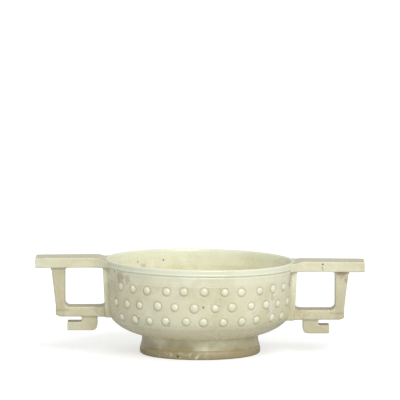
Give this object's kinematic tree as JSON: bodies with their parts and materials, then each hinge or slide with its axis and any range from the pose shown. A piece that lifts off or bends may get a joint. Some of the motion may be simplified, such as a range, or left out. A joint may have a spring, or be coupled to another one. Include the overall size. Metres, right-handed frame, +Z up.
{
  "type": "two-handled cup",
  "caption": "Shallow round jade cup with studded walls on a low foot ring, and a ring handle with a flat thumb plate at each side.",
  "frame": {"origin": "centre of the foot ring's resting face", "axes": "+Z up out of the cup's mouth, X along the two handles, -Y is the front"},
  "size_m": [0.15, 0.087, 0.0444],
  "materials": {
    "jade_bowl": "polished pale green-yellow nephrite with soft cloudy mottling",
    "jade_foot": "worn, browned nephrite with chalky encrustation low down",
    "jade_handle": "polished pale nephrite, browner on inner faces"
  },
  "bodies": {
    "root": {"bowl": "jade_bowl", "foot_ring": "jade_foot", "left_thumb_plate": "jade_handle", "left_outer_post": "jade_handle", "left_lower_bar": "jade_handle", "left_scroll_hook": "jade_handle", "right_thumb_plate": "jade_handle", "right_outer_post": "jade_handle", "right_lower_bar": "jade_handle", "right_scroll_hook": "jade_handle"}
  },
  "joints": []
}
